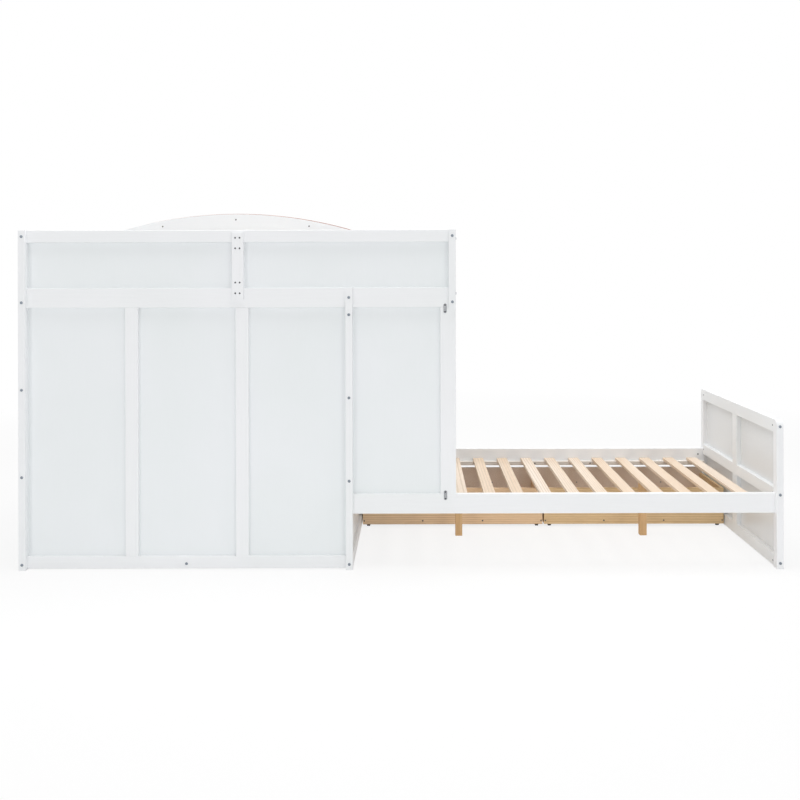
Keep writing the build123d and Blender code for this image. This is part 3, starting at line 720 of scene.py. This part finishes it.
def prism(outline: Sequence[Corner], low: float, high: float, taper: float = 1.0) -> Mesh:
    """A closed prism over an outline, whose lower end may be smaller.

    Args:
        outline: corners in X and Y, in order.
        low: height of the lower end.
        high: height of the upper end.
        taper: size of the lower end as a share of the upper one.

    Returns:
        The mesh.
    """
    work = bmesh.new()
    bottom = [work.verts.new((x * taper, y * taper, low)) for x, y in outline]
    top = [work.verts.new((x, y, high)) for x, y in outline]
    work.faces.new(bottom)
    work.faces.new(top)
    for i in range(len(outline)):
        j = (i + 1) % len(outline)
        work.faces.new((bottom[i], bottom[j], top[j], top[i]))
    bmesh.ops.recalc_face_normals(work, faces=work.faces)
    return baked(work, "prism")


def carved(body: Mesh, tools: Iterable[Mesh]) -> Mesh:
    """A mesh with other meshes cut out of it.

    Args:
        body: the mesh to cut.
        tools: closed meshes that are taken away.

    Returns:
        A new mesh.
    """
    scene = bpy.context.scene.collection.objects
    block = bpy.data.objects.new("block", body)
    scene.link(block)
    cutters = []
    for tool in tools:
        cutter = bpy.data.objects.new("cutter", tool)
        scene.link(cutter)
        cutters.append(cutter)
        cut = block.modifiers.new("cut", "BOOLEAN")
        cut.object = cutter
        cut.operation = "DIFFERENCE"
        cut.solver = "EXACT"
    bpy.context.view_layer.update()
    depsgraph = bpy.context.evaluated_depsgraph_get()
    result = bpy.data.meshes.new_from_object(block.evaluated_get(depsgraph))
    for thing in [block, *cutters]:
        bpy.data.objects.remove(thing)
    return result


def facing(direction: Vector) -> Matrix:
    """The rotation that turns +Z to a direction."""
    return direction.to_track_quat("Z", "Y").to_matrix().to_4x4()


def gathered(name: str, copies: Iterable[Placed]) -> Piece:
    """One object made of many placed copies of meshes, shaded smooth across soft edges.

    Args:
        name: the object's name.
        copies: each mesh with its place.

    Returns:
        The object, linked to the scene.
    """
    work = bmesh.new()
    for mesh, place in copies:
        copy = mesh.copy()
        copy.transform(place)
        work.from_mesh(copy)
        bpy.data.meshes.remove(copy)
    mesh = baked(work, name)
    mesh.shade_smooth()
    mesh.set_sharp_from_angle(angle=SMOOTH_ANGLE)
    piece = bpy.data.objects.new(name, mesh)
    bpy.context.scene.collection.objects.link(piece)
    return piece


def arc(centre: Corner, radius: float, start: float, end: float, steps: int) -> list[Corner]:
    """Points along an arc, with its angles in degrees."""
    angles = [math.radians(start + (end - start) * i / steps) for i in range(steps + 1)]
    return [(centre[0] + radius * math.cos(a), centre[1] + radius * math.sin(a)) for a in angles]


def oblong(half_width: float, half_height: float) -> list[Corner]:
    """The corners of a rectangle about the origin."""
    x, y = half_width, half_height
    return [(-x, -y), (x, -y), (x, y), (-x, y)]


@dataclass
class PanHeadScrews:
    """Pan head screws with a cross recess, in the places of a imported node's screws."""

    node: str
    name: str
    body: Body
    head_radius: float = 0.0040
    head_height: float = 0.0012
    shank_radius: float = 0.0018
    recess_reach: float = 0.0021
    recess_width: float = 0.0007
    recess_depth: float = 0.0009
    recess_taper: float = 0.72
    rim_radius: float = 0.0008
    tip_height: float = 0.0025
    thread_pitch: float = 0.0016
    root_share: float = 0.78
    plain_shank: float = 0.006
    turn_step: float = 0.7

    def template(self, length: float) -> Mesh:
        """One screw along -Z, its head's outer face at the origin.

        Args:
            length: its whole length.

        Returns:
            The mesh.
        """
        shank, pitch = self.shank_radius, self.thread_pitch
        seat_height = -self.head_height
        tip = self.tip_height - length
        dome = arc((self.head_radius - self.rim_radius, seat_height + 0.0003), self.rim_radius, 0, 75, 5)
        profile = [(0.0, -length), (shank * 0.5, -length), (shank, tip)]
        for i in range(int((length - self.head_height - self.plain_shank) / pitch)):
            height = tip + i * pitch
            profile += [(shank, height + 0.0003), (shank * self.root_share, height + pitch * 0.6)]
        profile += [(shank, seat_height - 0.002), (shank, seat_height), (self.head_radius, seat_height)]
        profile += dome + [(self.head_radius * 0.55, 0.0), (0.0, 0.0)]
        reach, half = self.recess_reach, self.recess_width / 2
        crossed = (oblong(reach, half), oblong(half, reach))
        cuts = [prism(outline, -self.recess_depth, CUT_PAST, self.recess_taper) for outline in crossed]
        return carved(turned(profile, 28), cuts)

    def build(self, wardrobe: Wardrobe) -> None:
        """Builds every screw of the node and dresses them."""
        piece = gathered(self.name, driven(self.node, self.head_height, self.turn_step, self.template))
        wardrobe.seat(piece, self.node, self.body, wardrobe.screw_steel, Slot.ZINC_STEEL)


def driven(
    node: str, head_height: float, turn_step: float, template: Callable[[float], Mesh]
) -> list[Placed]:
    """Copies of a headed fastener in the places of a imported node's solids, each turned a step further.

    Args:
        node: the node's name.
        head_height: how tall a head is.
        turn_step: the turn between one fastener and the next, in radians.
        template: makes a fastener of a given length.

    Returns:
        Each fastener's mesh with its place.
    """
    copies = []
    meshes: dict[float, Mesh] = {}
    for count, island in enumerate(islands_of(node)):
        side = island.longest()
        length = round(island.span[side], 5)
        if length not in meshes:
            meshes[length] = template(length)
        outward = head_direction(island, side, head_height)
        place = island.middle + outward * (length / 2)
        turn = Matrix.Rotation(turn_step * count, 4, "Z")
        copies.append((meshes[length], Matrix.Translation(place) @ facing(outward) @ turn))
    return copies


def head_direction(island: Island, side: int, head_height: float) -> Vector:
    """The way a fastener's head points, told by which of its ends is wider.

    Args:
        island: the fastener's solid.
        side: the number of its long axis.
        head_height: how tall its head is.

    Returns:
        A unit vector.
    """
    middle = island.middle
    reach = {}
    for sign, end in ((-1, island.low[side]), (1, island.high[side])):
        near = [point for point in island.points if abs(point[side] - end) <= head_height + 1e-4]
        others = [i for i in range(3) if i != side]
        reach[sign] = max(math.hypot(*(point[i] - middle[i] for i in others)) for point in near)
    direction = Vector((0.0, 0.0, 0.0))
    direction[side] = 1.0 if reach[1] > reach[-1] else -1.0
    return direction


@dataclass
class JointBolts:
    """Button head bolts with a hexagon socket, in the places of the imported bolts."""

    node: str = "frame_bolts"
    head_radius: float = 0.0065
    head_height: float = 0.0030
    shank_radius: float = 0.0030
    socket_radius: float = 0.0030
    socket_depth: float = 0.0020
    crown_radius: float = 0.0021
    chamfer: float = 0.0006
    turn_step: float = 0.37

    def template(self, length: float) -> Mesh:
        """One bolt along -Z, its head's outer face at the origin.

        Args:
            length: its whole length.

        Returns:
            The mesh.
        """
        seat_height = -self.head_height
        shank = self.shank_radius
        crown = arc((self.head_radius - self.crown_radius, seat_height + 0.0008), self.crown_radius, 0, 78, 8)
        profile = [(0.0, -length), (shank - self.chamfer, -length), (shank, -length + self.chamfer)]
        profile += [(shank, seat_height), (self.head_radius, seat_height)]
        profile += crown + [(self.socket_radius + 0.0005, 0.0), (0.0, 0.0)]
        socket = arc((0.0, 0.0), self.socket_radius, 0, 300, 5)
        return carved(turned(profile, 40), [prism(socket, -self.socket_depth, CUT_PAST)])

    def build(self, wardrobe: Wardrobe) -> None:
        """Builds every bolt and dresses them."""
        piece = gathered("joint_bolts", driven(self.node, self.head_height, self.turn_step, self.template))
        wardrobe.seat(piece, self.node, Body.FRAME, wardrobe.dark_steel, Slot.BLACK_STEEL)


@dataclass
class BarrelNuts:
    """Cross-drilled barrel nuts with a screwdriver slot in the end that shows."""

    node: str = "barrel_nuts"
    radius: float = 0.0050
    hole_radius: float = 0.0031
    past_bolt: float = 0.0050
    slot_width: float = 0.0014
    slot_depth: float = 0.0015
    chamfer: float = 0.0006
    end_band: float = 0.0005

    def template(self, length: float) -> Mesh:
        """One nut along -Z, its slotted end at the origin.

        Args:
            length: its whole length.

        Returns:
            The mesh.
        """
        edge = self.chamfer
        profile = [(0.0, -length), (self.radius - edge, -length), (self.radius, -length + edge)]
        profile += [(self.radius, -edge), (self.radius - edge, 0.0), (0.0, 0.0)]
        reach = self.radius + CUT_PAST
        slot = prism(oblong(reach, self.slot_width / 2), -self.slot_depth, CUT_PAST)
        bore = turned([(0.0, -reach), (self.hole_radius, -reach), (self.hole_radius, reach), (0.0, reach)], 24)
        bore.transform(Matrix.Translation((0, 0, self.past_bolt - length)) @ Matrix.Rotation(math.pi / 2, 4, "X"))
        return carved(turned(profile, 32), [slot, bore])

    def build(self, wardrobe: Wardrobe) -> None:
        """Builds every nut, its slot in line with its bolt, and dresses them."""
        copies = []
        meshes: dict[float, Mesh] = {}
        for island in islands_of(self.node):
            side = island.longest()
            length = round(island.span[side], 5)
            if length not in meshes:
                meshes[length] = self.template(length)
            low, high = island.low[side] + self.end_band, island.high[side] - self.end_band
            inner = [point for point in island.points if low < point[side] < high]
            hole = sum(point[side] for point in inner) / len(inner)
            outward = Vector((0.0, 0.0, 0.0))
            outward[side] = -1.0 if hole > island.middle[side] else 1.0
            bolt = hole_direction(inner, island, side)
            turn = Matrix((bolt.cross(outward), bolt, outward)).transposed().to_4x4()
            place = island.middle + outward * (length / 2)
            copies.append((meshes[length], Matrix.Translation(place) @ turn))
        piece = gathered("cross_dowel_nuts", copies)
        wardrobe.seat(piece, self.node, Body.FRAME, wardrobe.zinc, Slot.ZINC_STEEL)


def hole_direction(points: Sequence[Vector], island: Island, side: int) -> Vector:
    """The axis of a cross hole, which is where its rim stands out furthest.

    Args:
        points: the points on the nut's side, most of them on the hole's rim.
        island: the nut's solid.
        side: the number of the nut's long axis.

    Returns:
        A unit vector across the nut.
    """
    others = [i for i in range(3) if i != side]
    middle = island.middle
    pull = {i: sum(abs(point[i] - middle[i]) for point in points) for i in others}
    direction = Vector((0.0, 0.0, 0.0))
    direction[max(others, key=lambda i: pull[i])] = 1.0
    return direction


@dataclass
class MendingPlates:
    """Flat steel plates with round ends and countersunk holes over the support post's joints."""

    node: str = "mending_plates"
    screw_spread: float = 0.030
    hole_radius: float = 0.0019
    sink: float = 0.0012
    edge: float = 0.0004

    def template(self, width: float, height: float, thickness: float) -> Mesh:
        """One plate, upright in X and Y with its outer face at +Z.

        Args:
            width: its width.
            height: its height, round ends included.
            thickness: its thickness.

        Returns:
            The mesh.
        """
        radius = width / 2
        straight = height / 2 - radius
        rim = arc((0.0, straight), radius, 0, 180, 16) + arc((0.0, -straight), radius, 180, 360, 16)
        work = bmesh.new()
        work.from_mesh(prism(rim, 0.0, thickness - self.edge))
        top = max(work.faces, key=lambda face: face.calc_center_median().z)
        bmesh.ops.inset_region(work, faces=[top], thickness=self.edge, depth=0.0)
        for vert in top.verts:
            vert.co.z = thickness
        past = thickness + 0.0002
        profile = [(0.0, -CUT_PAST), (self.hole_radius, -CUT_PAST), (self.hole_radius, self.edge)]
        profile += [(self.hole_radius + self.sink, past), (0.0, past)]
        holes = []
        for sign in (-1, 1):
            hole = turned(profile, 24)
            hole.transform(Matrix.Translation((0, sign * self.screw_spread / 2, 0)))
            holes.append(hole)
        return carved(baked(work, "plate"), holes)

    def build(self, wardrobe: Wardrobe) -> None:
        """Builds both plates and dresses them."""
        copies = []
        for island in islands_of(self.node):
            width, thickness, height = island.span
            mesh = self.template(width, height, thickness)
            place = Vector((island.middle.x, island.low.y, island.middle.z))
            stand = Matrix(((-1, 0, 0), (0, 0, 1), (0, 1, 0))).to_4x4()
            copies.append((mesh, Matrix.Translation(place) @ stand))
        piece = gathered("joint_plates", copies)
        wardrobe.seat(piece, self.node, Body.FRAME, wardrobe.zinc, Slot.ZINC_STEEL)


@dataclass
class TurnedKnobs:
    """Turned wooden knobs with the machine screws that hold them."""

    node: str
    name: str
    body: Body
    foot_radius: float = 0.0090
    neck_radius: float = 0.0063
    widest_radius: float = 0.0150
    reach: float = 0.0220
    bore_radius: float = 0.0019
    bore_depth: float = 0.0092
    neck_curve: float = 0.0052
    neck_height: float = 0.0066
    head_half: float = 0.0062

    def template(self) -> Mesh:
        """One knob, its foot at the origin and its head towards +Z."""
        cup = [(self.foot_radius, 0.0), (self.foot_radius, 0.0014), (self.foot_radius - 0.0008, 0.0022)]
        neck = arc((self.neck_radius + self.neck_curve, self.neck_height), self.neck_curve, 234, 150, 12)
        middle = self.reach - self.head_half
        angles = [math.radians(a) for a in range(-62, 90, 6)]
        head = [(self.widest_radius * math.cos(a), middle + self.head_half * math.sin(a)) for a in angles]
        bore = [(0.0, self.bore_depth), (self.bore_radius, self.bore_depth), (self.bore_radius, 0.0)]
        return turned(bore + cup + neck + head + [(0.0, self.reach)], 56)

    def build(self, wardrobe: Wardrobe) -> None:
        """Builds the knobs and their screws, and dresses them."""
        knobs = []
        screws = []
        shank = PanHeadScrews(self.node, f"{self.name}_screws", self.body)
        outward = Vector((0.0, -1.0, 0.0))
        for island in islands_of(self.node):
            place = Matrix.Translation((island.middle.x, island.high.y, island.middle.z))
            if island.span.x > 2 * self.foot_radius:
                knobs.append((self.template(), place @ facing(outward)))
            else:
                screws.append((shank.template(round(island.span.y, 5)), place @ facing(-outward)))
        piece = gathered(self.name, knobs)
        wardrobe.seat(piece, self.node, self.body, wardrobe.frame_white, Slot.WHITE_WOOD)
        piece = gathered(shank.name, screws)
        wardrobe.seat(piece, self.node, self.body, wardrobe.zinc, Slot.ZINC_STEEL)


@dataclass
class CastorWheels:
    """Moulded wheels with a crowned tread, a hub and a recess on each side."""

    node: str
    name: str
    body: Body
    hub_radius: float = 0.0046
    bore_radius: float = 0.00205
    recess_depth: float = 0.0022
    rim_width: float = 0.0022
    shoulder: float = 0.0018
    edge: float = 0.0003

    def template(self, radius: float, width: float) -> Mesh:
        """One wheel about Z, in the middle of its width.

        Args:
            radius: its rolling radius.
            width: its width.

        Returns:
            The mesh.
        """
        half, hub, edge = width / 2, self.hub_radius, self.edge
        inner, floor = radius - self.rim_width, half - self.recess_depth
        upper = [(self.bore_radius, half), (hub - edge, half), (hub, half - edge)]
        upper += [(hub + 0.0004, floor), (inner - 0.0004, floor), (inner, half - 0.0002), (inner + edge, half)]
        upper += arc((radius - self.shoulder, half - self.shoulder), self.shoulder, 90, 0, 6)
        upper += [(radius, 0.0012), (radius - 0.0005, 0.0008), (radius - 0.0005, 0.0)]
        lower = [(r, -h) for r, h in reversed(upper[:-1])]
        return turned(upper + lower, 64)

    def build(self, wardrobe: Wardrobe) -> None:
        """Builds both wheels of a pair and dresses them."""
        copies = []
        for island in islands_of(self.node):
            mesh = self.template(island.span.z / 2, island.span.x)
            copies.append((mesh, Matrix.Translation(island.middle) @ Matrix.Rotation(math.pi / 2, 4, "Y")))
        piece = gathered(self.name, copies)
        wardrobe.seat(piece, self.node, self.body, wardrobe.wheel_black, Slot.BLACK_PLASTIC)


@dataclass
class EndFrames:
    """The left end, the partition, the upper end and the footboard."""

    posts: tuple[str, ...] = (
        "left_end_posts", "partition_posts", "upper_end_posts", "partition_blocks", "footboard_posts"
    )
    rails: tuple[str, ...] = ("left_end_rails", "partition_rails", "upper_end_rails", "upper_cross_beam")
    panels: tuple[str, ...] = ("left_end_panels", "partition_panels")

    def build(self, wardrobe: Wardrobe) -> None:
        """Dresses the posts, rails and panels of each frame."""
        wardrobe.dress(wardrobe.frame_white, Grain.UP, *self.posts)
        wardrobe.dress(wardrobe.frame_white, Grain.ACROSS, *self.rails)
        wardrobe.dress(wardrobe.panel_white, Grain.UP, *self.panels)
        wardrobe.dress(wardrobe.panel_white, Grain.ACROSS, "upper_end_panel")
        # The footboard gets the darker whites: painted shade for its inner face.
        wardrobe.dress(wardrobe.foot_white_painted_shade, Grain.ACROSS, "footboard_rails")
        wardrobe.dress(wardrobe.foot_panel_white_painted_shade, Grain.UP, "footboard_panels")


@dataclass
class RearWall:
    """The rear guard, the wall of the tall bay and the panel behind the head of the low bed."""

    upright: tuple[str, ...] = ("rear_guard_batten", "rear_wall_battens", "rear_support_post")
    lying: tuple[str, ...] = ("rear_guard_frame", "upper_side_rails", "lower_side_rails", "base_frame")
    panels: tuple[str, ...] = ("rear_guard_panels", "rear_wall_panels", "rear_infill_panel")

    def build(self, wardrobe: Wardrobe) -> None:
        """Dresses the rails, battens, panels and the bay's floor board."""
        wardrobe.dress(wardrobe.frame_white, Grain.UP, *self.upright)
        wardrobe.dress(wardrobe.frame_white, Grain.ALONG, *self.lying)
        wardrobe.dress(wardrobe.panel_white, Grain.UP, *self.panels)
        wardrobe.dress(wardrobe.raw_board, Grain.ALONG, "base_board")


@dataclass
class FrontSide:
    """The front guard, the arched board with its moulding, and the ladder."""

    lying: tuple[str, ...] = ("front_guard_frame", "ladder_rungs")

    def build(self, wardrobe: Wardrobe) -> None:
        """Dresses the pieces of the front."""
        wardrobe.dress(wardrobe.frame_white, Grain.ALONG, *self.lying)
        wardrobe.dress(wardrobe.frame_white, Grain.UP, "ladder_posts")
        wardrobe.dress(wardrobe.panel_white, Grain.ALONG, "front_guard_panels")
        # The arch board's lighter white is painted light.
        wardrobe.dress(wardrobe.arch_white_painted_light, Grain.ALONG, "arch_board")
        wardrobe.dress(wardrobe.rose, Grain.ALONG, "arch_moulding")


@dataclass
class SlattedBases:
    """The slats of both beds, the ledges that carry them and the legs under the low bed."""

    def build(self, wardrobe: Wardrobe) -> None:
        """Dresses the pine pieces."""
        wardrobe.dress(wardrobe.lower_slat, Grain.ACROSS, "lower_slats")
        wardrobe.dress(wardrobe.upper_slat, Grain.ACROSS, "upper_slats")
        wardrobe.dress(wardrobe.ledge, Grain.ALONG, "slat_ledges")
        wardrobe.dress(wardrobe.leg, Grain.UP, "slat_support_legs")


@dataclass
class RollingDrawer:
    """One drawer: boards, knobs, castors and screws."""

    prefix: str
    body: Body
    rear_wheels: Body
    front_wheels: Body

    def build(self, wardrobe: Wardrobe) -> None:
        """Dresses the boards, and builds the knobs, wheels and screws."""
        # The near drawer's lighter pine is painted light.
        board = wardrobe.near_board_painted_light if self.body is Body.NEAR_DRAWER else wardrobe.far_board
        wardrobe.dress(wardrobe.drawer_face, Grain.ALONG, f"{self.prefix}_front")
        wardrobe.dress(board, Grain.ACROSS, f"{self.prefix}_sides")
        wardrobe.dress(board, Grain.ALONG, f"{self.prefix}_back")
        wardrobe.dress(wardrobe.raw_board, Grain.ALONG, f"{self.prefix}_bottom")
        wardrobe.dress(wardrobe.zinc, Grain.UP, f"{self.prefix}_castor_frames")
        TurnedKnobs(f"{self.prefix}_knobs", f"{self.prefix}_turned_knobs", self.body).build(wardrobe)
        PanHeadScrews(f"{self.prefix}_screws", f"{self.prefix}_board_screws", self.body).build(wardrobe)
        for end, body in (("rear", self.rear_wheels), ("front", self.front_wheels)):
            wheels = CastorWheels(f"{self.prefix}_{end}_wheels", f"{self.prefix}_{end}_castor_wheels", body)
            wheels.build(wardrobe)


@dataclass
class FrameFasteners:
    """Bolts, nuts, plates and screws of the fixed frame."""

    screw_nodes: tuple[str, ...] = ("arch_screws", "guard_batten_screws", "ledge_screws", "plate_screws")

    def build(self, wardrobe: Wardrobe) -> None:
        """Builds and dresses every fastener of the frame."""
        JointBolts().build(wardrobe)
        BarrelNuts().build(wardrobe)
        MendingPlates().build(wardrobe)
        for node in self.screw_nodes:
            PanHeadScrews(node, f"{node}_cross_head", Body.FRAME).build(wardrobe)


@dataclass(frozen=True)
class SoftBox:
    """One soft rectangular lamp, with its size in metres and its power in watts."""

    name: str
    place: Point
    target: Point
    width: float
    height: float
    power: float

    def hang(self) -> None:
        """Adds the lamp, facing its target."""
        data = bpy.data.lights.new(self.name, "AREA")
        data.shape = "RECTANGLE"
        data.size = self.width
        data.size_y = self.height
        data.energy = self.power
        lamp = bpy.data.objects.new(self.name, data)
        lamp.location = self.place
        lamp.rotation_euler = (Vector(self.target) - Vector(self.place)).to_track_quat("-Z", "Y").to_euler()
        bpy.context.scene.collection.objects.link(lamp)
        log.info("hung %s", self.name)


@dataclass
class Studio:
    """The pale floor, the white surroundings and the soft lamps."""

    world_strength: float = 0.5
    floor_radius: float = 14.0
    floor_drop: float = 0.0004
    floor_tone: float = 0.93
    fade_start: float = 3.2
    fade_end: float = 5.5
    shadow_share: float = 0.2
    lamps: tuple[SoftBox, ...] = (
        SoftBox("rear_left_soft_box", (8.5, 14.0, 2.3), (0.0, 0.0, 0.7), 4.6, 3.6, 250.0),
        SoftBox("rear_right_soft_box", (-8.5, 14.0, 2.3), (0.0, 0.0, 0.7), 4.6, 3.6, 230.0),
        SoftBox("rear_high_soft_box", (-1.0, 11.0, 6.4), (-0.6, 0.0, 0.4), 3.6, 2.6, 75.0),
        SoftBox("front_soft_box", (-1.2, -6.0, 3.0), (0.0, 0.0, 0.8), 4.5, 2.6, 45.0),
        SoftBox("top_soft_box", (0.0, 0.3, 5.2), (0.0, 0.0, 0.5), 5.0, 3.0, 184.0),
    )

    def build(self) -> None:
        """Builds the surroundings and hangs the lamps."""
        self.build_world()
        self.build_floor()
        for lamp in self.lamps:
            lamp.hang()

    def build_world(self) -> None:
        """White to the camera and in reflections, and a plain soft light on everything else."""
        world = bpy.data.worlds.new("studio_white")
        bpy.context.scene.world = world
        tree = Tree(world)
        soft = tree.add("ShaderNodeBackground", {"Color": WHITE, "Strength": self.world_strength}).outputs[0]
        white = tree.add("ShaderNodeBackground", {"Color": WHITE, "Strength": 1.0}).outputs[0]
        mix = tree.add("ShaderNodeMixShader", {0: tree.shown(), 1: soft, 2: white}).outputs[0]
        tree.add("ShaderNodeOutputWorld", {"Surface": mix})

    def build_floor(self) -> None:
        """A pale round floor that keeps the bed's shadow and fades to white further out."""
        work = bmesh.new()
        bmesh.ops.create_circle(work, cap_ends=True, segments=96, radius=self.floor_radius)
        mesh = baked(work, "studio_floor")
        floor = bpy.data.objects.new("studio_floor", mesh)
        floor.location = (0.0, 0.0, -self.floor_drop)
        bpy.context.scene.collection.objects.link(floor)

        bench = Bench("floor_white")
        away = bench.add("ShaderNodeVectorMath", {0: bench.coords}, operation="LENGTH").outputs["Value"]
        near = bench.span(away, self.fade_start, self.fade_end, self.shadow_share, 0.0)
        tone = (self.floor_tone, self.floor_tone, self.floor_tone, 1.0)
        matt = bench.add("ShaderNodeBsdfDiffuse", {"Color": tone}).outputs[0]
        glow = bench.add("ShaderNodeEmission", {"Color": WHITE, "Strength": 1.0}).outputs[0]
        share = bench.maths("SUBTRACT", 1.0, near)
        lit = bench.add("ShaderNodeMixShader", {0: share, 1: matt, 2: glow}).outputs[0]
        final = bench.add("ShaderNodeMixShader", {0: bench.shown(), 1: matt, 2: lit}).outputs[0]
        bench.add("ShaderNodeOutputMaterial", {"Surface": final})
        mesh.materials.append(bench.material)


@dataclass
class Viewpoint:
    """The camera behind the bed, at the photograph's angle and framing."""

    place: Point = (-0.0648, 4.4913, 1.3703)
    focal_pixels: float = 871.56
    frame_pixels: float = 800.0
    centre_pixels: tuple[float, float] = (414.71, 268.88)
    roll: float = -0.00235
    sensor_width: float = 36.0
    clip_end: float = 100.0

    def build(self) -> None:
        """Places the camera and makes it the scene's own."""
        data = bpy.data.cameras.new("rear_camera")
        data.sensor_width = self.sensor_width
        data.lens = self.focal_pixels / self.frame_pixels * data.sensor_width
        data.shift_x = (self.frame_pixels / 2 - self.centre_pixels[0]) / self.frame_pixels
        data.shift_y = (self.centre_pixels[1] - self.frame_pixels / 2) / self.frame_pixels
        data.clip_end = self.clip_end
        camera = bpy.data.objects.new("rear_camera", data)
        camera.location = self.place
        level = Matrix.Rotation(math.pi, 4, "Z") @ Matrix.Rotation(math.pi / 2, 4, "X")
        camera.rotation_euler = (level @ Matrix.Rotation(self.roll, 4, "Z")).to_euler()
        bpy.context.scene.collection.objects.link(camera)
        bpy.context.scene.camera = camera
        log.info("placed the camera at %s", self.place)


def main() -> None:
    """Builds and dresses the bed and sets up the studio."""
    logging.basicConfig(level=logging.INFO, format="%(message)s")
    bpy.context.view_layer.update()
    bpy.context.scene.view_settings.view_transform = "Standard"
    wardrobe = Wardrobe()
    builders: list[Callable[[Wardrobe], None]] = [
        EndFrames().build,
        RearWall().build,
        FrontSide().build,
        SlattedBases().build,
        RollingDrawer("near_drawer", Body.NEAR_DRAWER, Body.NEAR_REAR_WHEELS, Body.NEAR_FRONT_WHEELS).build,
        RollingDrawer("far_drawer", Body.FAR_DRAWER, Body.FAR_REAR_WHEELS, Body.FAR_FRONT_WHEELS).build,
        FrameFasteners().build,
    ]
    for build in builders:
        build(wardrobe)
    Studio().build()
    Viewpoint().build()


if __name__ == "__main__":
    main()
